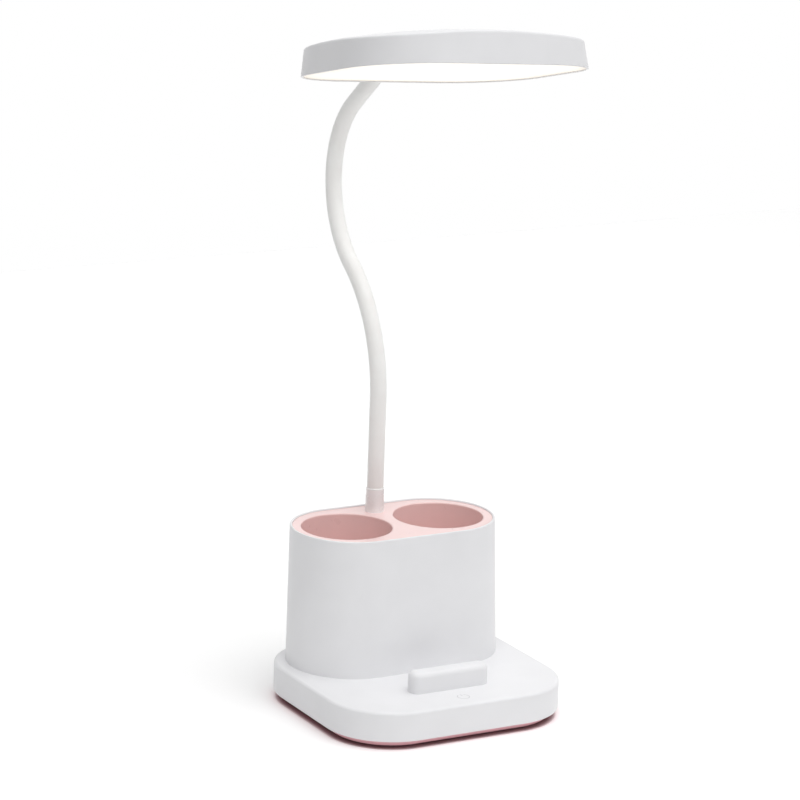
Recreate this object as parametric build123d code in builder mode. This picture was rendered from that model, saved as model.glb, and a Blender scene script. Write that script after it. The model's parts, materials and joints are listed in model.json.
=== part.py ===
from build123d import *
import os
from math import atan, cos, degrees, radians, sin, tan

# Desk lamp with a pen holder and a phone stand, in millimetres.
# Z is up, the front of the lamp faces -Y, and the origin is the middle of the base on the desk.

# General
wall = 2.4
fit_gap = 0.15
screw_gap = 0.06
overrun = 1.0
right_angle = 90

# Base
base_width = 178.0
base_depth = 164.0
base_corner = 47.0
base_height = 21.0
base_round = 2.0
base_edge_round = 0.5
pad_thickness = 1.5
pad_inset = 3.5
cover_inset = 1.3
cover_foot_inset = 6.5
cover_floor = 2.0
cover_rim = 4.5
cover_lip = 1.6
cover_lip_rise = 3.0
boss_radius = 4.0
boss_seat = 2.2
cover_screw_inset_x = 23.0
cover_screw_inset_y = 24.0
cover_screw_radius = 1.45
cover_screw_length = 9.0
screw_head_radius = 2.9
screw_head_height = 1.8

# Counterweight
weight_inset = 33.0
weight_depth = 50.0
weight_height = 5.0
weight_corner = 6.0
weight_y = 38.0
post_radius = 2.4
post_inset = 16.0

# Battery
cell_radius = 9.1
cell_length = 65.0
cell_nub_radius = 2.8
cell_nub = 1.0
cell_y = -16.0
cradle_floor = 0.8
cradle_wall = 1.6
cradle_height = 9.5
cradle_end = 2.4
contact_thickness = 0.5
contact_size = 12.0

# Control board, under the touch mark
board_width = 46.0
board_depth = 30.0
board_thickness = 1.6
board_stand = 5.0
board_y = -60.0
board_foot_radius = 2.6
board_foot_inset = 3.2
chip_size = 7.0
chip_height = 1.2
coil_size = 6.0
coil_height = 3.0
coil_x = -14.0
plug_width = 6.0
plug_depth = 8.0
plug_height = 7.0
touch_y = -67.0
touch_radius = 6.0
touch_foil = 0.4
touch_pin_radius = 1.2

# Charging inlet in the back wall
inlet_width = 8.94
inlet_height = 3.16
inlet_length = 7.3
inlet_sheet = 0.3
inlet_recess = 0.3
inlet_tongue_width = 6.7
inlet_tongue = 0.7
inlet_tongue_length = 5.0
inlet_board_width = 20.0
inlet_board_depth = 14.0
inlet_board_stand = 6.0

# Phone stop
stop_width = 60.5
stop_depth = 13.0
stop_corner = 5.5
stop_height = 14.8
stop_round = 3.8
stop_y = -44.5
peg_radius = 2.5
peg_spacing = 36.0
peg_length = 5.0

# Cup
cup_foot_depth = 90.0
cup_foot_y = 36.5
cup_rim_depth = 87.0
cup_rim_y = 40.5
cup_height = 98.0
cup_rim_margin = 7.8
cup_draft = 2.5
cup_wall = 3.0
cup_rim_wall = 1.8
cup_rim_round = 0.8
cup_floor = 2.5
cup_boss_radius = 3.5
cup_boss_height = 12.0
cup_screw_radius = 1.45
cup_screw_length = 13.0
cup_screw_inset_x = 23.5
cup_screw_front_y = 7.0
cup_screw_back_x = 14.0
cup_screw_back_y = 73.0
wire_hole = 4.0

# Liner with the two pen wells
deck_drop = 1.0
deck_thickness = 2.0
well_radius = 32.2
well_foot_radius = 30.6
well_wall = 1.8
well_spacing = 74.0
well_y = 41.0
well_lip = 0.9
neck_boss_radius = 9.0
neck_boss_height = 9.0

# Neck: straight runs joined by tangent arcs, all in the plane of symmetry
neck_y = 68.0
neck_foot_length = 83.5
neck_back_radius = 107.0
neck_back_angle = 55
neck_over_radius = 72.5
neck_over_angle = 106.5
neck_crest_length = 41.5
neck_nod_radius = 34.0
neck_end_length = 4.5
neck_radius = 5.9
sleeve_bore = 4.4
core_radius = 4.1
core_bore = 1.9
cable_radius = 1.5
bend_gap = 1.5
bends = 8
first_bend = 30.0
last_bend = 20.0
collar_radius = 6.5
collar_foot_radius = 6.8
collar_height = 17.5
collar_round = 0.4
nut_across = 12.0
nut_height = 4.0
thread_end = 1.5

# Lead from the neck to the control board, inside the base
lead_bend_radius = 8.0
lead_side_x = 50.0
lead_side_y = 46.0
lead_front_y = -60.0
wire_bend_radius = 6.0
wire_landing = 8.0

# Head
head_width = 179.0
head_depth = 156.0
head_corner = 53.0
head_height = 27.6
head_crown_radius = 540.0
head_draft = 3.8
head_round = 1.8
head_rim_round = 0.4
head_wall = 2.6
head_rim_wall = 1.5
head_top = 2.0
head_tilt_angle = 13.5
head_roll_angle = 3.6
head_entry = 10.6
diffuser_thickness = 2.0
diffuser_recess = 0.8
head_collar_radius = 7.4
head_collar_length = 3.0
socket_width = 24.0
socket_depth = 4.0
socket_height = 14.0
led_board_width = 120.0
led_board_depth = 100.0
led_board_corner = 8.0
led_board_thickness = 1.6
led_board_y = -8.0
led_board_height = 13.4
led_margin = 13.0
led_spacing = 18.0
led_width = 3.5
led_depth = 2.8
led_height = 0.9
led_window = 0.8
reflector_thickness = 0.5
head_screw_inset_x = 6.0
head_screw_inset_y = 10.0
head_screw_radius = 1.2
head_screw_length = 5.4
head_screw_hole = 4.4
head_boss_radius = 3.4

# Widths that follow the wells
cup_rim_width = well_spacing + 2 * (well_radius + cup_rim_margin)
cup_foot_width = cup_rim_width + 2 * cup_draft
cup_screw_front_x = cup_foot_width / 2 - cup_screw_inset_x

# Heights
cover_bottom = pad_thickness
floor_top = cover_bottom + cover_floor
shell_bottom = cover_bottom + cover_rim
base_top = shell_bottom + base_height
base_ceiling = base_top - wall
seat_top = floor_top + boss_seat
deck_top = base_top + cup_height - deck_drop
deck_bottom = deck_top - deck_thickness
cup_floor_top = base_top + cup_floor
control_top = floor_top + board_stand + board_thickness
lead_height = control_top + plug_height / 2
inlet_board_top = floor_top + inlet_board_stand + board_thickness
inlet_middle = inlet_board_top + inlet_height / 2

os.makedirs("parts", exist_ok=True)


def save(part, name):
    """Labels a finished piece and writes it."""
    part.label = name
    export_step(part, f"parts/{name}.step")


def screws(places, plane, head_radius, head_height, radius, length):
    """Screws standing on a plane: each head below it and each shank above it."""
    with BuildPart() as group:
        with BuildSketch(plane):
            with Locations(*places):
                Circle(head_radius)
        extrude(amount=-head_height)
        with BuildSketch(plane):
            with Locations(*places):
                Circle(radius)
        extrude(amount=length)
    return group.part


def four_corners(x, y):
    """The four places at plus and minus x and y."""
    return [(x, y), (-x, y), (-x, -y), (x, -y)]


# Base shell

cover_places = four_corners(base_width / 2 - cover_screw_inset_x, base_depth / 2 - cover_screw_inset_y)
cup_screw_places = [
    (cup_screw_front_x, cup_screw_front_y),
    (-cup_screw_front_x, cup_screw_front_y),
    (cup_screw_back_x, cup_screw_back_y),
    (-cup_screw_back_x, cup_screw_back_y),
]

peg_places = [(peg_spacing / 2, stop_y), (-peg_spacing / 2, stop_y)]
weight_width = base_width - 2 * weight_inset
post_x = weight_width / 2 - post_inset
post_places = [(post_x, weight_y), (-post_x, weight_y)]

with BuildPart() as base_shell:
    with BuildSketch(Plane.XY.offset(shell_bottom)):
        RectangleRounded(base_width, base_depth, base_corner)
    extrude(amount=base_height)
    fillet(base_shell.faces().sort_by(Axis.Z)[-1].edges(), radius=base_round)
    fillet(base_shell.faces().sort_by(Axis.Z)[0].edges(), radius=base_edge_round)
    with BuildSketch(Plane.XY.offset(shell_bottom)):
        RectangleRounded(base_width - 2 * wall, base_depth - 2 * wall, base_corner - wall)
    extrude(amount=base_height - wall, mode=Mode.SUBTRACT)
    with BuildSketch(Plane.XY.offset(base_ceiling)):
        with Locations(*cover_places):
            Circle(boss_radius)
    extrude(amount=seat_top + fit_gap - base_ceiling)
    with BuildSketch(Plane.XY.offset(seat_top)):
        with Locations(*cover_places):
            Circle(cover_screw_radius + screw_gap)
    extrude(amount=cover_screw_length, mode=Mode.SUBTRACT)
    with BuildSketch(Plane.XY.offset(base_ceiling)):
        with Locations(*cup_screw_places):
            Circle(cup_screw_radius + fit_gap)
        with Locations(*peg_places):
            Circle(peg_radius + fit_gap)
        with Locations((0, neck_y)):
            Circle(wire_hole)
    extrude(amount=wall, mode=Mode.SUBTRACT)
    with BuildSketch(Plane.XZ.offset(-base_depth / 2)):
        with Locations((0, inlet_middle)):
            SlotOverall(inlet_width + 2 * fit_gap, inlet_height + 2 * fit_gap)
    extrude(amount=wall + overrun, mode=Mode.SUBTRACT)
save(base_shell.part, "base_shell")

# Bottom cover: a dish with sloping sides and a lip that locates it in the shell


def base_outline(inset):
    """The base's outline, inset on every side."""
    return RectangleRounded(base_width - 2 * inset, base_depth - 2 * inset, base_corner - inset)


lip_inset = wall + fit_gap
inner = lip_inset + cover_lip
cover_slope = (cover_foot_inset - cover_inset) / cover_rim
cover_flare = degrees(atan(cover_slope))
with BuildPart() as bottom_cover:
    with BuildSketch(Plane.XY.offset(cover_bottom)):
        base_outline(cover_foot_inset)
    extrude(amount=cover_rim, taper=-cover_flare)
    with BuildSketch(Plane.XY.offset(shell_bottom)):
        base_outline(lip_inset)
    extrude(amount=cover_lip_rise)
    with BuildSketch(Plane.XY.offset(floor_top)):
        base_outline(inner + (cover_rim - cover_floor) * cover_slope)
    extrude(amount=cover_rim - cover_floor, taper=-cover_flare, mode=Mode.SUBTRACT)
    with BuildSketch(Plane.XY.offset(shell_bottom)):
        base_outline(inner)
    extrude(amount=cover_lip_rise, mode=Mode.SUBTRACT)
    with BuildSketch(Plane.XY.offset(floor_top)):
        with Locations(*cover_places):
            Circle(boss_radius)
    extrude(amount=boss_seat)
    with BuildSketch(Plane.XY.offset(floor_top)):
        with Locations(*post_places):
            Circle(post_radius)
    extrude(amount=weight_height + overrun)
    foot_x = board_width / 2 - board_foot_inset
    foot_y = board_depth / 2 - board_foot_inset
    with BuildSketch(Plane.XY.offset(floor_top)):
        with Locations((0, board_y)):
            with Locations(*four_corners(foot_x, foot_y)):
                Circle(board_foot_radius)
    extrude(amount=board_stand)
    inlet_board_y = base_depth / 2 - inner - inlet_board_depth / 2
    with BuildSketch(Plane.XY.offset(floor_top)):
        with Locations((0, inlet_board_y)):
            Rectangle(inlet_board_width - 2 * board_foot_inset, board_foot_inset)
    extrude(amount=inlet_board_stand)
    head_seat = cover_bottom + screw_head_height
    with BuildSketch(Plane.XY.offset(cover_bottom)):
        with Locations(*cover_places):
            Circle(screw_head_radius + fit_gap)
    extrude(amount=screw_head_height, mode=Mode.SUBTRACT)
    with BuildSketch(Plane.XY.offset(head_seat)):
        with Locations(*cover_places):
            Circle(cover_screw_radius + fit_gap)
    extrude(amount=seat_top - head_seat, mode=Mode.SUBTRACT)
save(bottom_cover.part, "bottom_cover")

save(
    screws(
        cover_places,
        Plane.XY.offset(head_seat),
        screw_head_radius,
        screw_head_height,
        cover_screw_radius,
        cover_screw_length,
    ),
    "cover_screws",
)

with BuildPart() as grip_pad:
    with BuildSketch():
        base_outline(cover_foot_inset + pad_inset)
    extrude(amount=pad_thickness)
save(grip_pad.part, "grip_pad")

with BuildPart() as counterweight:
    with BuildSketch(Plane.XY.offset(floor_top)):
        with Locations((0, weight_y)):
            RectangleRounded(weight_width, weight_depth, weight_corner)
        with Locations(*post_places):
            Circle(post_radius + fit_gap, mode=Mode.SUBTRACT)
    extrude(amount=weight_height)
save(counterweight.part, "counterweight")

# Battery, its cradle and its contacts

cell_height = floor_top + cradle_floor + cell_radius
cell_plane = Plane.YZ.offset(-cell_length / 2)
with BuildPart() as battery_cell:
    with BuildSketch(cell_plane):
        with Locations((cell_y, cell_height)):
            Circle(cell_radius)
    extrude(amount=cell_length - cell_nub)
    with BuildSketch(cell_plane):
        with Locations((cell_y, cell_height)):
            Circle(cell_nub_radius)
    extrude(amount=cell_length)
save(battery_cell.part, "battery_cell")

cradle_inside = cell_length + 2 * contact_thickness
with BuildPart() as battery_cradle:
    with BuildSketch(Plane.XY.offset(floor_top)):
        with Locations((0, cell_y)):
            Rectangle(cradle_inside + 2 * cradle_end, 2 * (cell_radius + fit_gap + cradle_wall))
    extrude(amount=cradle_height)
    with BuildSketch(Plane.YZ.offset(-cradle_inside / 2)):
        with Locations((cell_y, cell_height)):
            Circle(cell_radius + fit_gap)
    extrude(amount=cradle_inside, mode=Mode.SUBTRACT)
    end_x = cradle_inside / 2 + cradle_end / 2
    with BuildSketch(Plane.XY.offset(floor_top + cradle_height)):
        with Locations((end_x, cell_y), (-end_x, cell_y)):
            Rectangle(cradle_end, contact_size)
    extrude(amount=cell_height - floor_top - cradle_height + contact_size / 2)
save(battery_cradle.part, "battery_cradle")

with BuildPart() as battery_contacts:
    for start in (-cradle_inside / 2, cradle_inside / 2 - contact_thickness):
        with BuildSketch(Plane.YZ.offset(start)):
            with Locations((cell_y, cell_height)):
                Rectangle(contact_size, contact_size)
        extrude(amount=contact_thickness)
save(battery_contacts.part, "battery_contacts")

# Control board and the touch electrode above it

board_bottom = floor_top + board_stand
with BuildPart() as control_board:
    with BuildSketch(Plane.XY.offset(board_bottom)):
        with Locations((0, board_y)):
            Rectangle(board_width, board_depth)
    extrude(amount=board_thickness)
    with BuildSketch(Plane.XY.offset(control_top)):
        with Locations((0, board_y)):
            Rectangle(chip_size, chip_size)
    extrude(amount=chip_height)
    with BuildSketch(Plane.XY.offset(control_top)):
        with Locations((coil_x, board_y)):
            Rectangle(coil_size, coil_size)
    extrude(amount=coil_height)
    plug_x = board_width / 2 - plug_width / 2
    with BuildSketch(Plane.XY.offset(control_top)):
        with Locations((plug_x, lead_front_y)):
            Rectangle(plug_width, plug_depth)
    extrude(amount=plug_height)
save(control_board.part, "control_board")

with BuildPart() as touch_electrode:
    with BuildSketch(Plane.XY.offset(control_top)):
        with Locations((0, touch_y)):
            Circle(touch_pin_radius)
    extrude(amount=base_ceiling - control_top)
    with BuildSketch(Plane.XY.offset(base_ceiling - touch_foil)):
        with Locations((0, touch_y)):
            Circle(touch_radius)
    extrude(amount=touch_foil)
save(touch_electrode.part, "touch_electrode")

# Charging inlet on its own small board

with BuildPart() as inlet_board:
    with BuildSketch(Plane.XY.offset(inlet_board_top - board_thickness)):
        with Locations((0, inlet_board_y)):
            Rectangle(inlet_board_width, inlet_board_depth)
    extrude(amount=board_thickness)
save(inlet_board.part, "inlet_board")

inlet_mouth = Plane.XZ.offset(inlet_recess - base_depth / 2)
with BuildPart() as charging_inlet:
    with BuildSketch(inlet_mouth):
        with Locations((0, inlet_middle)):
            SlotOverall(inlet_width, inlet_height)
    extrude(amount=inlet_length)
    with BuildSketch(inlet_mouth):
        with Locations((0, inlet_middle)):
            SlotOverall(inlet_width - 2 * inlet_sheet, inlet_height - 2 * inlet_sheet)
    extrude(amount=inlet_length - inlet_sheet, mode=Mode.SUBTRACT)
    with BuildSketch(inlet_mouth.offset(inlet_length)):
        with Locations((0, inlet_middle)):
            Rectangle(inlet_tongue_width, inlet_tongue)
    extrude(amount=-inlet_tongue_length - inlet_sheet)
save(charging_inlet.part, "charging_inlet")

# Phone stop: a block rounded on plan and over its top, on two pegs

with BuildPart() as phone_stop:
    with BuildSketch(Plane.XY.offset(base_top)):
        with Locations((0, stop_y)):
            RectangleRounded(stop_width, stop_depth, stop_corner)
    extrude(amount=stop_height)
    fillet(phone_stop.faces().sort_by(Axis.Z)[-1].edges(), radius=stop_round)
    with BuildSketch(Plane.XY.offset(base_top)):
        with Locations(*peg_places):
            Circle(peg_radius)
    extrude(amount=-peg_length)
save(phone_stop.part, "phone_stop")

# Cup shell: a tapering wall round a long slot shape, with a thin rim above the liner's ledge


def cup_section(height, inset):
    """Width, depth and middle of the cup's slot-shaped section, inset from its outer face."""
    share = height / cup_height
    width = cup_foot_width + (cup_rim_width - cup_foot_width) * share
    depth = cup_foot_depth + (cup_rim_depth - cup_foot_depth) * share
    middle = cup_foot_y + (cup_rim_y - cup_foot_y) * share
    return width - 2 * inset, depth - 2 * inset, middle


def cup_block(low, high, inset):
    """A solid of the cup's tapering form between two heights above its foot."""
    with BuildPart() as block:
        for height in (low, high):
            width, depth, middle = cup_section(height, inset)
            with BuildSketch(Plane.XY.offset(base_top + height)):
                with Locations((0, middle)):
                    SlotOverall(width, depth)
        loft(ruled=True)
    return block.part


ledge = cup_height - deck_drop - deck_thickness
cup_form = cup_block(0, cup_height, 0)
cup_hollow = cup_block(cup_floor, ledge, cup_wall)
cup_mouth = cup_block(ledge, cup_height, cup_rim_wall)
with BuildPart() as cup_shell:
    add(cup_form)
    add(cup_mouth, mode=Mode.SUBTRACT)
    fillet(cup_shell.faces().sort_by(Axis.Z)[-1].edges(), radius=cup_rim_round)
    add(cup_hollow, mode=Mode.SUBTRACT)
    with BuildSketch(Plane.XY.offset(cup_floor_top)):
        with Locations(*cup_screw_places):
            Circle(cup_boss_radius)
    extrude(amount=cup_boss_height)
    with BuildSketch(Plane.XY.offset(base_top)):
        with Locations(*cup_screw_places):
            Circle(cup_screw_radius + screw_gap)
    extrude(amount=cup_screw_length, mode=Mode.SUBTRACT)
    with BuildSketch(Plane.XY.offset(base_top)):
        with Locations((0, neck_y)):
            Circle(wire_hole)
    extrude(amount=cup_floor, mode=Mode.SUBTRACT)
save(cup_shell.part, "cup_shell")

save(
    screws(
        cup_screw_places,
        Plane.XY.offset(base_ceiling),
        screw_head_radius,
        screw_head_height,
        cup_screw_radius,
        cup_screw_length,
    ),
    "cup_screws",
)

# Cup liner: the deck, two pen wells and the boss that carries the neck

well_places = [(well_spacing / 2, well_y), (-well_spacing / 2, well_y)]
well_bottom = cup_floor_top + well_wall
well_draft = degrees(atan((well_radius - well_foot_radius) / (deck_top - well_bottom)))
well_foot = well_foot_radius + well_wall
with BuildPart() as cup_liner:
    deck_width, deck_depth, deck_y = cup_section(ledge, cup_rim_wall + fit_gap)
    with BuildSketch(Plane.XY.offset(deck_bottom)):
        with Locations((0, deck_y)):
            SlotOverall(deck_width, deck_depth)
    extrude(amount=deck_thickness)
    with BuildSketch(Plane.XY.offset(cup_floor_top)):
        with Locations(*well_places):
            Circle(well_foot)
    extrude(amount=deck_bottom - cup_floor_top, taper=-well_draft)
    with BuildSketch(Plane.XY.offset(well_bottom)):
        with Locations(*well_places):
            Circle(well_foot_radius)
    extrude(amount=deck_top - well_bottom, taper=-well_draft, mode=Mode.SUBTRACT)
    mouths = cup_liner.faces().sort_by(Axis.Z)[-1].inner_wires()
    fillet([edge for wire in mouths for edge in wire.edges()], radius=well_lip)
    with BuildSketch(Plane.XY.offset(deck_bottom)):
        with Locations((0, neck_y)):
            Circle(neck_boss_radius)
    extrude(amount=-neck_boss_height)
    with BuildSketch(Plane.XY.offset(deck_top)):
        with Locations((0, neck_y)):
            Circle(core_radius + screw_gap)
    extrude(amount=-deck_thickness - neck_boss_height, mode=Mode.SUBTRACT)
save(cup_liner.part, "cup_liner")

# Neck: one centre line from the deck to the inside of the head

neck_nod_angle = right_angle - head_tilt_angle + neck_back_angle - neck_over_angle
neck_insert = head_wall + socket_depth + nut_height + thread_end
with BuildLine(Plane.YZ) as neck_line:
    foot_run = Line((neck_y, deck_top), (neck_y, deck_top + neck_foot_length))
    back_bend = JernArc(foot_run @ 1, foot_run % 1, neck_back_radius, -neck_back_angle)
    over_bend = JernArc(back_bend @ 1, back_bend % 1, neck_over_radius, neck_over_angle)
    crest_run = PolarLine(over_bend @ 1, neck_crest_length, direction=over_bend % 1)
    nod_bend = JernArc(crest_run @ 1, crest_run % 1, neck_nod_radius, neck_nod_angle)
    PolarLine(nod_bend @ 1, neck_end_length + neck_insert, direction=nod_bend % 1)
neck_wire = Wire(neck_line.edges())
neck_length = neck_wire.length
neck_reach = neck_length - neck_insert
last_place = neck_reach - last_bend
bend_step = (last_place - first_bend) / (bends - 1)
bend_places = [first_bend + bend_step * i for i in range(bends)]


def neck_frame(place):
    """The plane across the neck at a length along it, with its x along X."""
    middle = neck_wire.position_at(place / neck_length)
    along = neck_wire.tangent_at(place / neck_length)
    return Plane(middle, x_dir=(1, 0, 0), z_dir=along)


def neck_tube(start, end, radius, bore=0):
    """A tube or rod round the neck's centre line between two lengths along it."""
    route = neck_wire.trim(start / neck_length, end / neck_length)
    with BuildPart() as tube:
        with BuildSketch(neck_frame(start)):
            Circle(radius)
            if bore:
                Circle(bore, mode=Mode.SUBTRACT)
        sweep(path=route)
    return tube.part


def neck_core(number):
    """One length of the steel core: from just past its bend to just short of the next one."""
    start = bend_places[number - 1] + bend_gap if number else 0
    end = bend_places[number] - bend_gap if number < bends else neck_length
    return start, end


# Sleeve lengths meet half way between the bends
sleeve_ends = [collar_height]
sleeve_ends += [place + bend_step / 2 for place in bend_places[:-1]]
sleeve_ends += [neck_reach - head_collar_length]
for number in range(bends):
    sleeve = neck_tube(sleeve_ends[number], sleeve_ends[number + 1], neck_radius, sleeve_bore)
    save(sleeve, f"neck_sleeve_{number + 1}")

# The core's foot goes on down through the deck to its nut
core_drop = deck_thickness + neck_boss_height + nut_height + thread_end
foot_plane = Plane.XY.offset(deck_top - core_drop)
with BuildPart() as neck_core_0:
    with BuildSketch(foot_plane):
        with Locations((0, neck_y)):
            Circle(core_radius)
            Circle(core_bore, mode=Mode.SUBTRACT)
    extrude(amount=core_drop + first_bend - bend_gap)
save(neck_core_0.part, "neck_core_0")
for number in range(1, bends + 1):
    start, end = neck_core(number)
    save(neck_tube(start, end, core_radius, core_bore), f"neck_core_{number}")
    if number < bends:
        save(neck_tube(start, end, cable_radius), f"neck_cable_{number}")

with BuildPart() as neck_cable_0:
    with BuildLine() as lead_path:
        FilletPolyline(
            (0, neck_y, deck_top + first_bend - bend_gap),
            (0, neck_y, lead_height),
            (lead_side_x, lead_side_y, lead_height),
            (lead_side_x, lead_front_y, lead_height),
            (board_width / 2, lead_front_y, lead_height),
            radius=lead_bend_radius,
        )
    with BuildSketch(Plane(lead_path.line @ 0, z_dir=lead_path.line % 0)):
        Circle(cable_radius)
    sweep()
save(neck_cable_0.part, "neck_cable_0")

with BuildPart() as neck_nut:
    with BuildSketch(Plane.XY.offset(deck_bottom - neck_boss_height)):
        with Locations((0, neck_y)):
            RegularPolygon(nut_across / 2, side_count=6, major_radius=False)
            Circle(core_radius + screw_gap, mode=Mode.SUBTRACT)
    extrude(amount=-nut_height)
save(neck_nut.part, "neck_nut")

# Collar round the neck's foot, a little wider at the deck

collar_draft = degrees(atan((collar_foot_radius - collar_radius) / collar_height))
with BuildPart() as neck_collar:
    with BuildSketch(Plane.XY.offset(deck_top)):
        with Locations((0, neck_y)):
            Circle(collar_foot_radius)
    extrude(amount=collar_height, taper=collar_draft)
    fillet(neck_collar.faces().sort_by(Axis.Z)[-1].edges(), radius=collar_round)
    with BuildSketch(Plane.XY.offset(deck_top)):
        with Locations((0, neck_y)):
            Circle(core_radius + screw_gap)
    extrude(amount=collar_height, mode=Mode.SUBTRACT)
save(neck_collar.part, "neck_collar")

# Head: every piece stands in the head's own plane, which follows the neck's end

wall_draft = degrees(atan(head_draft / head_height))
entry_depth = head_depth / 2 - head_draft * head_entry / head_height
entry = neck_frame(neck_reach)
backward = -entry.z_dir
upward = entry.x_dir.cross(backward)
head_x = entry.x_dir * cos(radians(head_roll_angle)) - upward * sin(radians(head_roll_angle))
head_z = upward * cos(radians(head_roll_angle)) + entry.x_dir * sin(radians(head_roll_angle))
head_origin = entry.origin - backward * entry_depth - head_z * head_entry
head_plane = Plane(head_origin, x_dir=head_x, z_dir=head_z)


def head_block(low, high, inset):
    """A solid of the head's tapering form between two heights above its rim."""
    shrink = inset + head_draft * low / head_height
    with BuildPart() as block:
        with BuildSketch(head_plane.offset(low)):
            RectangleRounded(head_width - 2 * shrink, head_depth - 2 * shrink, head_corner - shrink)
        extrude(amount=high - low, taper=wall_draft)
    return block.part


def crowned(block, radius):
    """The part of a block under the head's crown, a sphere of the given radius."""
    with BuildPart() as form:
        add(block)
        with Locations(head_plane.offset(head_height - head_crown_radius)):
            Sphere(radius, mode=Mode.INTERSECT)
    return form.part


diffuser_top = diffuser_recess + diffuser_thickness
head_form = crowned(head_block(0, head_height, 0), head_crown_radius)
head_mouth = head_block(0, diffuser_top, head_rim_wall)
head_hollow = crowned(head_block(diffuser_top, head_height, head_wall), head_crown_radius - head_top)
head_screw_places = four_corners(
    led_board_width / 2 - head_screw_inset_x, led_board_depth / 2 - head_screw_inset_y
)
led_board_bottom = led_board_height
led_board_top = led_board_bottom + led_board_thickness

# The hollow less the four bosses that carry the board
with BuildPart() as head_room:
    add(head_hollow)
    with BuildSketch(head_plane.offset(led_board_top)):
        with Locations((0, led_board_y)):
            with Locations(*head_screw_places):
                Circle(head_boss_radius)
    extrude(amount=head_height, mode=Mode.SUBTRACT)

with BuildPart() as head_shell:
    add(head_form)
    fillet(head_shell.faces().sort_by(Axis(head_origin, head_z))[-1].edges(), radius=head_round)
    fillet(head_shell.faces().sort_by(Axis(head_origin, head_z))[0].edges(), radius=head_rim_round)
    add(head_mouth, mode=Mode.SUBTRACT)
    add(head_room.part, mode=Mode.SUBTRACT)
    with BuildSketch(head_plane.offset(led_board_top)):
        with Locations((0, led_board_y)):
            with Locations(*head_screw_places):
                Circle(head_screw_radius + screw_gap)
    extrude(amount=head_screw_hole, mode=Mode.SUBTRACT)
    with BuildSketch(entry):
        Circle(core_radius + screw_gap)
    extrude(amount=head_wall * 2, both=True, mode=Mode.SUBTRACT)
save(head_shell.part, "head_shell")

with BuildPart() as diffuser:
    add(head_block(diffuser_recess, diffuser_top, head_rim_wall + fit_gap))
save(diffuser.part, "diffuser")

with BuildPart() as led_board:
    with BuildSketch(head_plane.offset(led_board_bottom)):
        with Locations((0, led_board_y)):
            RectangleRounded(led_board_width, led_board_depth, led_board_corner)
            with Locations(*head_screw_places):
                Circle(head_screw_radius + fit_gap, mode=Mode.SUBTRACT)
    extrude(amount=led_board_thickness)
save(led_board.part, "led_board")

led_columns = int((led_board_width - 2 * led_margin) / led_spacing) + 1
led_rows = int((led_board_depth - 2 * led_margin) / led_spacing) + 1
with BuildPart() as led_chips:
    with BuildSketch(head_plane.offset(led_board_bottom)):
        with Locations((0, led_board_y)):
            with GridLocations(led_spacing, led_spacing, led_columns, led_rows):
                Rectangle(led_width, led_depth)
    extrude(amount=-led_height)
save(led_chips.part, "led_chips")

with BuildPart() as reflector_sheet:
    with BuildSketch(head_plane.offset(led_board_bottom)):
        with Locations((0, led_board_y)):
            RectangleRounded(led_board_width, led_board_depth, led_board_corner)
            with GridLocations(led_spacing, led_spacing, led_columns, led_rows):
                Rectangle(led_width + led_window, led_depth + led_window, mode=Mode.SUBTRACT)
            with Locations(*head_screw_places):
                Circle(screw_head_radius + fit_gap, mode=Mode.SUBTRACT)
    extrude(amount=-reflector_thickness)
save(reflector_sheet.part, "reflector_sheet")

save(
    screws(
        [(x, y + led_board_y) for x, y in head_screw_places],
        head_plane.offset(led_board_bottom),
        screw_head_radius,
        screw_head_height,
        head_screw_radius,
        head_screw_length,
    ),
    "head_screws",
)

# The cable comes out of the core's end and climbs onto the board

core_end_y = entry_depth - neck_insert
wire_top = led_board_top + cable_radius
board_edge = led_board_y + led_board_depth / 2
with BuildPart() as neck_cable_8:
    add(neck_tube(neck_core(bends)[0], neck_length, cable_radius))
    with BuildLine(Plane(head_origin, x_dir=head_x, z_dir=head_z)) as board_path:
        FilletPolyline(
            (0, core_end_y, head_entry),
            (0, core_end_y - wire_bend_radius, head_entry),
            (0, board_edge + wire_bend_radius, wire_top),
            (0, board_edge - wire_landing, wire_top),
            radius=wire_bend_radius,
        )
    with BuildSketch(Plane(board_path.line @ 0, z_dir=board_path.line % 0)):
        Circle(cable_radius)
    sweep(path=board_path.line)
save(neck_cable_8.part, "neck_cable_8")

# What holds the neck in the head: a collar outside, and a socket plate and a nut inside

outside = Plane(entry.origin + backward * head_collar_length, x_dir=(1, 0, 0), z_dir=entry.z_dir)
with BuildPart() as head_collar:
    with BuildSketch(outside):
        Circle(head_collar_radius)
        Circle(core_radius + screw_gap, mode=Mode.SUBTRACT)
    extrude(amount=head_collar_length + head_draft)
    add(head_form, mode=Mode.SUBTRACT)
save(head_collar.part, "head_collar")

socket_frame = Plane(entry.origin, x_dir=head_x, z_dir=entry.z_dir)
with BuildPart() as neck_socket:
    with BuildSketch(socket_frame):
        Rectangle(socket_width, socket_height)
        Circle(core_radius + screw_gap, mode=Mode.SUBTRACT)
    extrude(amount=head_wall + socket_depth)
    add(head_hollow, mode=Mode.INTERSECT)
save(neck_socket.part, "neck_socket")

with BuildPart() as head_nut:
    with BuildSketch(socket_frame.offset(head_wall + socket_depth)):
        RegularPolygon(nut_across / 2, side_count=6, major_radius=False)
        Circle(core_radius + screw_gap, mode=Mode.SUBTRACT)
    extrude(amount=nut_height)
save(head_nut.part, "head_nut")

# Where the neck bends: fore and aft at every other bend, sideways at the rest

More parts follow.
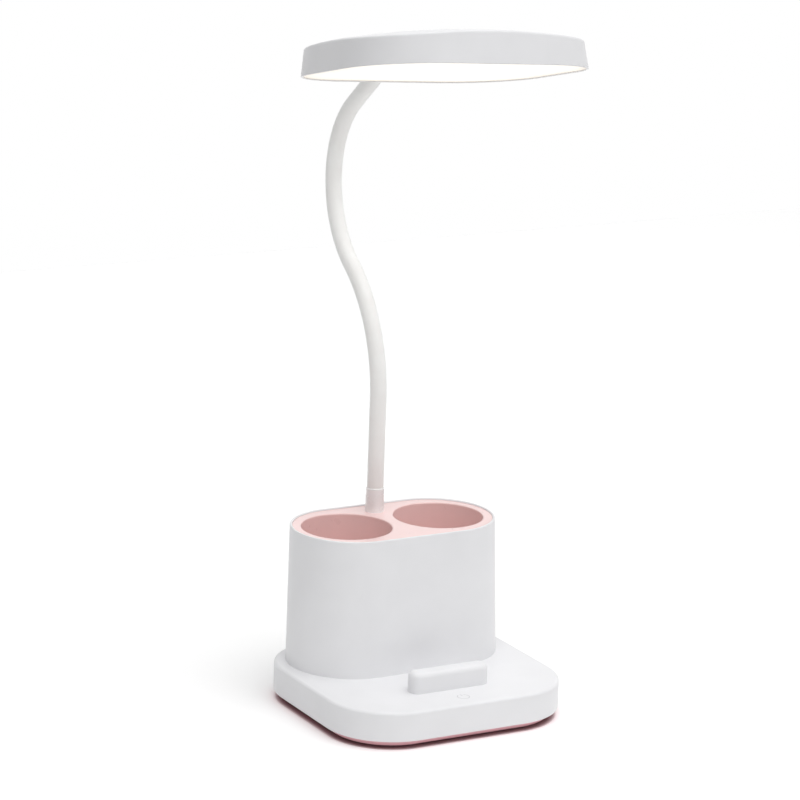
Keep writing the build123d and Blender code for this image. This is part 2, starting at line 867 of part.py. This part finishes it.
for number, place in enumerate(bend_places):
    frame = neck_frame(place)
    sideways = number % 2
    axis = frame.y_dir if sideways else frame.x_dir
    print("bend", number + 1, "sideways" if sideways else "fore_aft", tuple(frame.origin), tuple(axis))
print("head frame", tuple(head_origin), tuple(head_x), tuple(head_z))
print("lead bend radius", lead_bend_radius, "and neck bend radii", neck_back_radius, neck_over_radius, neck_nod_radius)
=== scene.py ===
import json
import math

import bmesh
import bpy
from mathutils import Matrix, Vector


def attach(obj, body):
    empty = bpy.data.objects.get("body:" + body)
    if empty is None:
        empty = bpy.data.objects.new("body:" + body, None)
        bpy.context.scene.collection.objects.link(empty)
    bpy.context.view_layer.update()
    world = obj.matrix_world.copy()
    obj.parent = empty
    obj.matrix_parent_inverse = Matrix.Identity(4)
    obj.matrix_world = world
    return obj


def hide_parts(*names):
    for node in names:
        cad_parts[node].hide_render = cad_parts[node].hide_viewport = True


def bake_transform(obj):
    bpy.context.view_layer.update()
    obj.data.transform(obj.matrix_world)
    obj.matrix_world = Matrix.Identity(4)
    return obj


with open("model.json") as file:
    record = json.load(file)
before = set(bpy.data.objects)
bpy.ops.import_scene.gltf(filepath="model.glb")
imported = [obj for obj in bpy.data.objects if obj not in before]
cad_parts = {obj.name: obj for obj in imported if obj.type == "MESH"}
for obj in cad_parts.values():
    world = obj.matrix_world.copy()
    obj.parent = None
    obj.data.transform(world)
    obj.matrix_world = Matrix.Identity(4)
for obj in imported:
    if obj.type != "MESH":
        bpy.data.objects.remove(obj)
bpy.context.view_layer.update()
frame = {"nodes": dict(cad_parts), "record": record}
MM = 0.001

# Colours, written as screen values
WHITE = (239, 239, 241)
PINK = (250, 215, 212)
# The cover's pink is the liner's pink made deeper: painted shade and pink bounce light under the
# base
PINK_SHADED = (250, 196, 203)
COLLAR_WHITE = (254, 253, 253)
SLEEVE = (255, 254, 252)
MARK_GREY = (196, 196, 198)

# The neck's centre line, in millimetres in the plane of symmetry, from the deck to the head:
# a straight run has a length, and an arc has a radius and a turn in degrees
NECK_Y = 68.0
DECK_TOP = 124.0
RUNS = [
    ("run", 83.5),
    ("arc", 107.0, -55.0),
    ("arc", 72.5, 106.5),
    ("run", 41.5),
    ("arc", 34.0, 25.0),
    ("run", 4.5),
]
NECK_RADIUS = 5.9
COLLAR_HEIGHT = 17.5
HEAD_COLLAR = 3.0

# The bends: the first and last are this far from the ends, and each reaches this far at most
FIRST_BEND = 30.0
LAST_BEND = 20.0
BENDS = 8
BEND_REACH = 18.0

# The neck's skins: the distance between rings, the fewest lengths, and the points round a ring
RING_STEP = 1.2
FEWEST_LENGTHS = 8
RING_SIDES = 56

# The printed touch mark on top of the base, in millimetres and degrees
MARK_Y = -67.0
BASE_TOP = 27.0
MARK_LIFT = 0.02
MARK_RADIUS = 4.2
MARK_LINE = 0.42
MARK_GAP = 28.0
MARK_STEPS = 64
MARK_STROKE = (1.6, 5.0)

# The head: its sizes at the rim, its sides' draft, where the neck enters it, and its roll
HEAD = {
    "width": 179.0,
    "depth": 156.0,
    "corner": 53.0,
    "height": 27.6,
    "draft": 3.8,
    "entry": 10.6,
    "roll": 3.6,
}

# The lit diffuser: its light at distances in millimetres from its edge
LIT_STRENGTH = 3.6
LIT_FADE = [
    (50, (3.6, 3.6, 3.6)),
    (34, (0.9, 0.87, 0.8)),
    (20, (0.64, 0.6, 0.52)),
    (8, (0.56, 0.51, 0.42)),
    (2, (0.44, 0.38, 0.3)),
]

# The camera: angles in degrees, distances in metres, lens and sensor in millimetres
YAW = 29.508
PITCH = 14.45
ROLL = 2.006
DISTANCE = 2.424704
AIM_RIGHT = -0.017964
AIM_HEIGHT = 0.221738
LENS = 157.5
SENSOR = 36
CLIP_END = 100

# The floor: half its side in metres, its colour for light that bounces off it, its colour as
# seen, and the painted dark reddish shadow close to where something stands on it, with its reach
FLOOR_HALF = 1.4
FLOOR_BOUNCE = (0.9, 0.9, 0.9, 1)
FLOOR_SEEN = (1.12, 1.12, 1.12, 1)
FLOOR_PAINTED_SHADOW = (0.26, 0.16, 0.17, 1)
PAINTED_SHADOW_REACH = 5 * MM

# The dome of light: a direction, and its level away from it and towards it
DOME_FROM_ABOVE = ((0, 0, 1), 0.1, 1.15)
DOME_FROM_FRONT = ((0.3, -0.95, 0), 0.35, 1.65)

# The lamp overhead: place, aim and size in metres, and power in watts
LAMP_PLACE = (0.0, -0.3, 2.4)
LAMP_AIM = (0, 0, 0.2)
LAMP_SIZE = 1.8
LAMP_POWER = 10


# Materials


def linear(colour):
    """A screen colour from 0 to 255 as linear light, with an alpha of 1."""
    out = []
    for value in colour:
        v = value / 255
        out.append(v / 12.92 if v <= 0.04045 else ((v + 0.055) / 1.055) ** 2.4)
    return (*out, 1.0)


def tone(colour, factor):
    """A linear colour made darker or lighter."""
    return (*[min(1.0, c * factor) for c in colour[:3]], 1.0)


def new_material(name):
    """An empty node material with its shader and output."""
    material = bpy.data.materials.new(name)
    material.use_nodes = True
    nodes = material.node_tree.nodes
    nodes.clear()
    shader = nodes.new("ShaderNodeBsdfPrincipled")
    output = nodes.new("ShaderNodeOutputMaterial")
    material.node_tree.links.new(shader.outputs[0], output.inputs[0])
    return material, nodes, material.node_tree.links, shader


def piece_place(nodes, links, stretch):
    """The place on the piece, in its own coordinates, scaled along each axis."""
    place = nodes.new("ShaderNodeTexCoord")
    mapping = nodes.new("ShaderNodeMapping")
    mapping.inputs["Scale"].default_value = stretch
    links.new(place.outputs["Object"], mapping.inputs["Vector"])
    return mapping.outputs["Vector"]


def noise(nodes, links, scale, detail=2.0, stretch=(1, 1, 1)):
    """Noise in the piece's own coordinates, with scale in features per millimetre."""
    texture = nodes.new("ShaderNodeTexNoise")
    texture.inputs["Scale"].default_value = scale
    texture.inputs["Detail"].default_value = detail
    place = piece_place(nodes, links, [s / MM for s in stretch])
    links.new(place, texture.inputs["Vector"])
    return texture.outputs["Fac"]


def spread(nodes, links, value, low, high):
    """Noise, which keeps near its middle, spread between two numbers."""
    node = nodes.new("ShaderNodeMapRange")
    node.inputs["From Min"].default_value = 0.3
    node.inputs["From Max"].default_value = 0.7
    node.inputs["To Min"].default_value = low
    node.inputs["To Max"].default_value = high
    links.new(value, node.inputs["Value"])
    return node.outputs["Result"]


def two_tones(nodes, links, value, dark, light):
    """Noise as a colour between two tones."""
    node = nodes.new("ShaderNodeValToRGB")
    for stop, position, colour in zip(node.color_ramp.elements, (0.3, 0.7), (dark, light)):
        stop.position = position
        stop.color = colour
    links.new(value, node.inputs["Fac"])
    return node.outputs["Color"]


def bump(nodes, links, height, depth, under=None):
    """A bump of the given depth in millimetres, over another bump if there is one."""
    node = nodes.new("ShaderNodeBump")
    node.inputs["Strength"].default_value = 1.0
    node.inputs["Distance"].default_value = depth * MM
    links.new(height, node.inputs["Height"])
    if under is not None:
        links.new(under, node.inputs["Normal"])
    return node.outputs["Normal"]


def maths(nodes, links, operation, first, second=None):
    """A Math node on one or two values, where the second may be a plain number."""
    node = nodes.new("ShaderNodeMath")
    node.operation = operation
    links.new(first, node.inputs[0])
    if isinstance(second, float):
        node.inputs[1].default_value = second
    elif second is not None:
        links.new(second, node.inputs[1])
    return node.outputs[0]


def along(nodes, links, place, axis):
    """How far a place lies along an axis."""
    node = nodes.new("ShaderNodeVectorMath")
    node.operation = "DOT_PRODUCT"
    node.inputs[1].default_value = axis
    links.new(place, node.inputs[0])
    return node.outputs["Value"]


def blended(nodes, links, factor, low, high):
    """A colour from low to high by a factor, where each is a colour or a node's output."""
    node = nodes.new("ShaderNodeMix")
    node.data_type = "RGBA"
    links.new(factor, node.inputs[0])
    for socket, colour in ((node.inputs[6], low), (node.inputs[7], high)):
        if isinstance(colour, tuple):
            socket.default_value = colour
        else:
            links.new(colour, socket)
    return node.outputs[2]


def moulded(name, colour, rough=0.38, grain=0.006, wave=0.02, coat=0.12):
    """Injection-moulded plastic: a fine tool grain, a slow waviness and a thin gloss."""
    material, nodes, links, shader = new_material(name)
    base = linear(colour)
    slow_tint = noise(nodes, links, scale=0.03)
    tint = two_tones(nodes, links, slow_tint, tone(base, 0.975), tone(base, 1.01))
    links.new(tint, shader.inputs["Base Color"])
    wear = noise(nodes, links, scale=0.12, detail=4)
    roughness = spread(nodes, links, wear, rough - 0.05, rough + 0.06)
    links.new(roughness, shader.inputs["Roughness"])
    slow = bump(nodes, links, noise(nodes, links, scale=0.05, detail=1), wave)
    fine = bump(nodes, links, noise(nodes, links, scale=3.0, detail=3), grain, slow)
    links.new(fine, shader.inputs["Normal"])
    shader.inputs["Coat Weight"].default_value = coat
    shader.inputs["Coat Roughness"].default_value = 0.25
    return material


def metal(name, colour, rough, stretch=(1, 1, 1)):
    """Worked metal with drawn or turned lines along one way."""
    material, nodes, links, shader = new_material(name)
    base = linear(colour)
    lines = noise(nodes, links, scale=1.5, detail=3, stretch=stretch)
    links.new(two_tones(nodes, links, lines, tone(base, 0.85), base), shader.inputs["Base Color"])
    roughness = spread(nodes, links, lines, rough - 0.06, rough + 0.08)
    links.new(roughness, shader.inputs["Roughness"])
    links.new(bump(nodes, links, lines, depth=0.01), shader.inputs["Normal"])
    shader.inputs["Metallic"].default_value = 1.0
    return material


def soft_sleeve(name, colour):
    """A smooth soft sleeve: matt, with a faint bloom and slow unevenness."""
    material, nodes, links, shader = new_material(name)
    base = linear(colour)
    slow_tint = noise(nodes, links, scale=0.08)
    tint = two_tones(nodes, links, slow_tint, tone(base, 0.97), tone(base, 1.01))
    links.new(tint, shader.inputs["Base Color"])
    roughness = spread(nodes, links, noise(nodes, links, scale=0.4, detail=4), 0.46, 0.58)
    links.new(roughness, shader.inputs["Roughness"])
    slow = bump(nodes, links, noise(nodes, links, scale=0.12, detail=1), depth=0.012)
    fine = bump(nodes, links, noise(nodes, links, scale=3.0, detail=2), depth=0.0012, under=slow)
    links.new(fine, shader.inputs["Normal"])
    shader.inputs["Sheen Weight"].default_value = 0.15
    shader.inputs["Sheen Roughness"].default_value = 0.5
    return material


def circuit_board(name):
    """A green lacquered board with copper lines under the lacquer."""
    material, nodes, links, shader = new_material(name)
    lines = nodes.new("ShaderNodeTexBrick")
    lines.inputs["Color1"].default_value = linear((24, 92, 58))
    lines.inputs["Color2"].default_value = linear((30, 104, 66))
    lines.inputs["Mortar"].default_value = linear((60, 132, 84))
    lines.inputs["Mortar Size"].default_value = 0.03
    links.new(piece_place(nodes, links, [0.35 / MM] * 3), lines.inputs["Vector"])
    links.new(lines.outputs["Color"], shader.inputs["Base Color"])
    shader.inputs["Roughness"].default_value = 0.3
    return material


def glowing(name, colour, strength):
    """A small lit surface."""
    material, nodes, links, shader = new_material(name)
    base = linear(colour)
    tint = two_tones(nodes, links, noise(nodes, links, scale=1.0), tone(base, 0.9), base)
    links.new(tint, shader.inputs["Base Color"])
    shader.inputs["Emission Color"].default_value = base
    shader.inputs["Emission Strength"].default_value = strength
    return material


def lit_diffuser(name):
    """An opal plate lit from behind: even in the middle, warmer and dimmer towards its edge."""
    material, nodes, links, shader = new_material(name)
    origin, x_axis, y_axis = head_axes()
    place = nodes.new("ShaderNodeTexCoord")
    shift = nodes.new("ShaderNodeVectorMath")
    shift.operation = "SUBTRACT"
    shift.inputs[1].default_value = origin
    links.new(place.outputs["Object"], shift.inputs[0])

    def beyond(axis, limit):
        """The square of how far a place is past a limit on either side along an axis."""
        size = maths(nodes, links, "ABSOLUTE", along(nodes, links, shift.outputs[0], axis))
        over = maths(nodes, links, "SUBTRACT", size, limit)
        return maths(nodes, links, "POWER", maths(nodes, links, "MAXIMUM", over, 0.0), 2.0)

    # The distance from the middle of a rounded corner gives the distance from the edge
    corner = HEAD["corner"] * MM
    past_x = beyond(x_axis, HEAD["width"] / 2 * MM - corner)
    past_y = beyond(y_axis, HEAD["depth"] / 2 * MM - corner)
    distance = maths(nodes, links, "SQRT", maths(nodes, links, "ADD", past_x, past_y))
    first, last = LIT_FADE[0][0], LIT_FADE[-1][0]
    ramp = nodes.new("ShaderNodeMapRange")
    ramp.inputs["From Min"].default_value = corner - first * MM
    ramp.inputs["From Max"].default_value = corner - last * MM
    links.new(distance, ramp.inputs["Value"])
    colour = nodes.new("ShaderNodeValToRGB")
    stops = colour.color_ramp.elements
    for _ in LIT_FADE[2:]:
        stops.new(0.5)
    for stop, (inset, light) in zip(stops, LIT_FADE):
        stop.position = (first - inset) / (first - last)
        stop.color = (*[value / LIT_STRENGTH for value in light], 1)
    links.new(ramp.outputs["Result"], colour.inputs["Fac"])
    links.new(colour.outputs["Color"], shader.inputs["Emission Color"])
    shader.inputs["Emission Strength"].default_value = LIT_STRENGTH
    shader.inputs["Base Color"].default_value = (0.5, 0.5, 0.5, 1)
    roughness = spread(nodes, links, noise(nodes, links, scale=0.3, detail=3), 0.4, 0.5)
    links.new(roughness, shader.inputs["Roughness"])
    return material


# The neck


def neck_length():
    """The length of the centre line from the deck to the head's wall."""
    return sum(
        run[1] if run[0] == "run" else run[1] * math.radians(abs(run[2])) for run in RUNS
    )


def neck_point(place):
    """The point at a length along the neck, and the neck's heading there, in radians from +Y."""
    y, z, heading, left = NECK_Y, DECK_TOP, math.pi / 2, place
    for run in RUNS:
        if run[0] == "run":
            step = min(left, run[1])
            y, z = y + step * math.cos(heading), z + step * math.sin(heading)
        else:
            radius, turn = run[1], math.radians(run[2])
            step = min(left, radius * abs(turn))
            side = math.copysign(1.0, turn)
            middle_y = y - side * radius * math.sin(heading)
            middle_z = z + side * radius * math.cos(heading)
            heading += side * step / radius
            y = middle_y + side * radius * math.sin(heading)
            z = middle_z - side * radius * math.cos(heading)
        left -= step
        if left <= 1e-9:
            break
    return y, z, heading


def at(place):
    """A point on the neck's centre line, in metres."""
    y, z, _ = neck_point(place)
    return Vector((0, y, z)) * MM


def add_mesh(name, mesh):
    """A new object made from a bmesh, which is freed."""
    data = bpy.data.meshes.new(name)
    mesh.to_mesh(data)
    mesh.free()
    piece = bpy.data.objects.new(name, data)
    bpy.context.scene.collection.objects.link(piece)
    return piece


def neck_skin(name, start, end):
    """A smooth round skin between two lengths along the neck, open at both ends."""
    steps = max(FEWEST_LENGTHS, int((end - start) / RING_STEP))
    mesh = bmesh.new()
    rings = []
    for i in range(steps + 1):
        y, z, heading = neck_point(start + (end - start) * i / steps)
        middle = Vector((0, y, z))
        across = Vector((0, -math.sin(heading), math.cos(heading)))
        ring = []
        for k in range(RING_SIDES):
            a = 2 * math.pi * k / RING_SIDES
            outward = Vector((1, 0, 0)) * math.cos(a) + across * math.sin(a)
            ring.append(mesh.verts.new((middle + NECK_RADIUS * outward) * MM))
        rings.append(ring)
    for low, high in zip(rings, rings[1:]):
        for k in range(RING_SIDES):
            after = (k + 1) % RING_SIDES
            mesh.faces.new((low[k], low[after], high[after], high[k]))
    bmesh.ops.recalc_face_normals(mesh, faces=mesh.faces)
    piece = add_mesh(name, mesh)
    for polygon in piece.data.polygons:
        polygon.use_smooth = True
    return piece


def make_neck(material):
    """One skin over each bend: it stands for a length of sleeve."""
    reach = neck_length()
    step = (reach - LAST_BEND - FIRST_BEND) / (BENDS - 1)
    places = [FIRST_BEND + step * i for i in range(BENDS)]
    ends = [COLLAR_HEIGHT] + [place + step / 2 for place in places[:-1]] + [reach - HEAD_COLLAR]
    for i, place in enumerate(places):
        skin = neck_skin(f"neck_skin_{i + 1}", ends[i], ends[i + 1])
        skin.data.materials.append(material)
        half = min(place - ends[i], ends[i + 1] - place, BEND_REACH)
        at(place - half)
        at(place + half)
        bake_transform(skin)
        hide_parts(f"neck_sleeve_{i + 1}")


# The touch mark


def make_touch_mark(material):
    """The faint printed mark over the touch electrode: an open ring with a short stroke."""
    mesh = bmesh.new()

    def point(x, y):
        return mesh.verts.new(Vector((x, MARK_Y + y, BASE_TOP + MARK_LIFT)) * MM)

    gap = math.radians(MARK_GAP)
    pairs = []
    for i in range(MARK_STEPS + 1):
        a = math.pi / 2 + gap + (2 * math.pi - 2 * gap) * i / MARK_STEPS
        radii = (MARK_RADIUS - MARK_LINE / 2, MARK_RADIUS + MARK_LINE / 2)
        pairs.append([point(math.cos(a) * r, math.sin(a) * r) for r in radii])
    for low, high in zip(pairs, pairs[1:]):
        mesh.faces.new((low[0], low[1], high[1], high[0]))
    half, (near, far) = MARK_LINE / 2, MARK_STROKE
    corners = [(-half, near), (half, near), (half, far), (-half, far)]
    mesh.faces.new([point(x, y) for x, y in corners])
    bmesh.ops.recalc_face_normals(mesh, faces=mesh.faces)
    piece = add_mesh("touch_mark", mesh)
    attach(piece, "base")
    piece.data.materials.append(material)


# The head


def head_axes():
    """The head's own origin in metres, in the plane of its rim, and its x and y axes."""
    y, z, heading = neck_point(neck_length())
    back = Vector((0, -math.cos(heading), -math.sin(heading)))
    up = Vector((1, 0, 0)).cross(back)
    roll = math.radians(HEAD["roll"])
    x_axis = Vector((1, 0, 0)) * math.cos(roll) - up * math.sin(roll)
    z_axis = up * math.cos(roll) + Vector((1, 0, 0)) * math.sin(roll)
    depth = HEAD["depth"] / 2 - HEAD["draft"] * HEAD["entry"] / HEAD["height"]
    origin = Vector((0, y, z)) - back * depth - z_axis * HEAD["entry"]
    return origin * MM, x_axis, z_axis.cross(x_axis)


def dress_nodes():
    """Every CAD node that stays gets the material of its slot, and the cover its pink made deeper
    as painted shade and bounce light.
    """
    materials = {
        "white_shell": moulded("white_plastic", WHITE),
        "pink_trim": moulded(
            "pink_plastic", PINK, rough=0.32, grain=0.0004, wave=0.002, coat=0.8
        ),
        "collar_plastic": moulded("collar_plastic", COLLAR_WHITE, rough=0.25, coat=0.8),
        # The grip pad is a dark grey rubber, which also paints the shade in the thin gap under
        # the cover
        "grip_rubber": soft_sleeve("grip_rubber", (72, 60, 62)),
        "core_steel": metal("wound_steel", (150, 150, 154), 0.35, stretch=(1, 1, 8)),
        "cable": moulded("cable_jacket", (40, 40, 44), rough=0.5),
        "screw_steel": metal("screw_steel", (186, 186, 190), 0.3),
        "weight_steel": metal("rolled_steel", (120, 120, 126), 0.45, stretch=(0.2, 4, 1)),
        "cell": moulded("cell_film", (66, 118, 190), rough=0.3, coat=0.5),
        "cradle_plastic": moulded("black_plastic", (46, 46, 50), rough=0.5),
        "contact_metal": metal("spring_brass", (214, 190, 130), 0.3),
        "board": circuit_board("circuit_board"),
        "inlet_steel": metal("drawn_steel", (190, 190, 194), 0.28, stretch=(1, 6, 1)),
        "led": glowing("phosphor", (255, 236, 170), strength=1.0),
        "reflector": moulded("white_film", (246, 246, 246), rough=0.6),
        "diffuser": lit_diffuser("lit_diffuser"),
    }
    dressed = {}
    for sub in frame["record"]["subparts"]:
        if sub["material_slot"] in materials:
            dressed[sub["node"]] = materials[sub["material_slot"]]
    # The cover is the liner's pink plastic; its deeper, more saturated pink is painted shade and
    # bounce light
    dressed["bottom_cover"] = moulded("cover_shaded_pink", PINK_SHADED, rough=0.45)
    for name, material in dressed.items():
        slots = frame["nodes"][name].data.materials
        slots.clear()
        slots.append(material)


# The camera, the floor and the light


def make_camera():
    """The photograph's camera: far off, a little above, to the left of the front."""
    yaw, pitch, roll = math.radians(YAW), math.radians(PITCH), math.radians(ROLL)
    flat = math.cos(pitch)
    forward = Vector((math.sin(yaw) * flat, math.cos(yaw) * flat, -math.sin(pitch)))
    right = Vector((math.cos(yaw), -math.sin(yaw), 0))
    up = right.cross(forward)
    target = right * AIM_RIGHT + Vector((0, 0, AIM_HEIGHT))
    rolled_right = right * math.cos(roll) + up * math.sin(roll)
    rolled_up = up * math.cos(roll) - right * math.sin(roll)
    turn = Matrix((rolled_right, rolled_up, -forward)).transposed().to_4x4()
    data = bpy.data.cameras.new("camera")
    data.lens = LENS
    data.sensor_width = SENSOR
    data.clip_end = CLIP_END
    camera = bpy.data.objects.new("camera", data)
    camera.matrix_world = Matrix.Translation(target - forward * DISTANCE) @ turn
    bpy.context.scene.collection.objects.link(camera)
    bpy.context.scene.camera = camera


def seen_directly(nodes, links):
    """1 for what the camera sees, also in gloss or through glass, and 0 for light on things."""
    path = nodes.new("ShaderNodeLightPath")
    seen = path.outputs["Is Camera Ray"]
    for name in ("Is Glossy Ray", "Is Transmission Ray"):
        seen = maths(nodes, links, "MAXIMUM", seen, path.outputs[name])
    return seen


def make_floor():
    """A plain floor that is white as seen and keeps the shadow, with a painted dark reddish
    shadow close to the base.
    """
    mesh = bmesh.new()
    bmesh.ops.create_grid(mesh, x_segments=8, y_segments=8, size=FLOOR_HALF)
    floor = add_mesh("floor", mesh)
    material, nodes, links, shader = new_material("floor")
    # Painted shadow: where something is within a short reach, the floor as seen darkens to a
    # reddish shade
    close = nodes.new("ShaderNodeAmbientOcclusion")
    close.samples = 8
    close.inputs["Distance"].default_value = PAINTED_SHADOW_REACH
    open_sky = nodes.new("ShaderNodeMapRange")
    open_sky.inputs["From Min"].default_value = 0.45
    open_sky.inputs["From Max"].default_value = 0.97
    links.new(close.outputs["AO"], open_sky.inputs["Value"])
    seen = blended(nodes, links, open_sky.outputs["Result"], FLOOR_PAINTED_SHADOW, FLOOR_SEEN)
    pale = blended(nodes, links, seen_directly(nodes, links), FLOOR_BOUNCE, seen)
    links.new(pale, shader.inputs["Base Color"])
    shader.inputs["Roughness"].default_value = 0.9
    shader.inputs["Specular IOR Level"].default_value = 0.1
    floor.data.materials.append(material)


def make_dome():
    """A soft dome of light from above and the front, which is plain white as seen."""
    world = bpy.data.worlds.new("surround")
    bpy.context.scene.world = world
    world.use_nodes = True
    nodes, links = world.node_tree.nodes, world.node_tree.links
    nodes.clear()
    output = nodes.new("ShaderNodeOutputWorld")
    background = nodes.new("ShaderNodeBackground")
    background.inputs["Color"].default_value = (1, 1, 1, 1)
    links.new(background.outputs[0], output.inputs[0])
    place = nodes.new("ShaderNodeTexCoord")

    def toward(way, low, high):
        """A level that runs from low to high as the direction turns toward a way."""
        level = nodes.new("ShaderNodeMapRange")
        level.interpolation_type = "SMOOTHSTEP"
        level.inputs["From Min"].default_value = -1.0 if way[2] == 0 else 0.0
        level.inputs["To Min"].default_value = low
        level.inputs["To Max"].default_value = high
        turned = along(nodes, links, place.outputs["Generated"], Vector(way).normalized())
        links.new(turned, level.inputs["Value"])
        return level.outputs["Result"]

    dome = maths(nodes, links, "MULTIPLY", toward(*DOME_FROM_ABOVE), toward(*DOME_FROM_FRONT))
    level = nodes.new("ShaderNodeMix")
    level.inputs["B"].default_value = 1.0
    links.new(seen_directly(nodes, links), level.inputs["Factor"])
    links.new(dome, level.inputs["A"])
    links.new(level.outputs["Result"], background.inputs["Strength"])


def add_lamp():
    """A wide square lamp overhead."""
    data = bpy.data.lights.new("top", "AREA")
    data.size = LAMP_SIZE
    data.energy = LAMP_POWER
    lamp = bpy.data.objects.new("top", data)
    lamp.location = LAMP_PLACE
    away = Vector(LAMP_AIM) - Vector(LAMP_PLACE)
    lamp.rotation_euler = away.to_track_quat("-Z", "Y").to_euler()
    bpy.context.scene.collection.objects.link(lamp)


make_camera()
dress_nodes()
make_neck(soft_sleeve("soft_sleeve", SLEEVE))
make_touch_mark(moulded("mark_ink", MARK_GREY, rough=0.5))
make_floor()
make_dome()
add_lamp()
bpy.context.scene.view_settings.view_transform = "Standard"
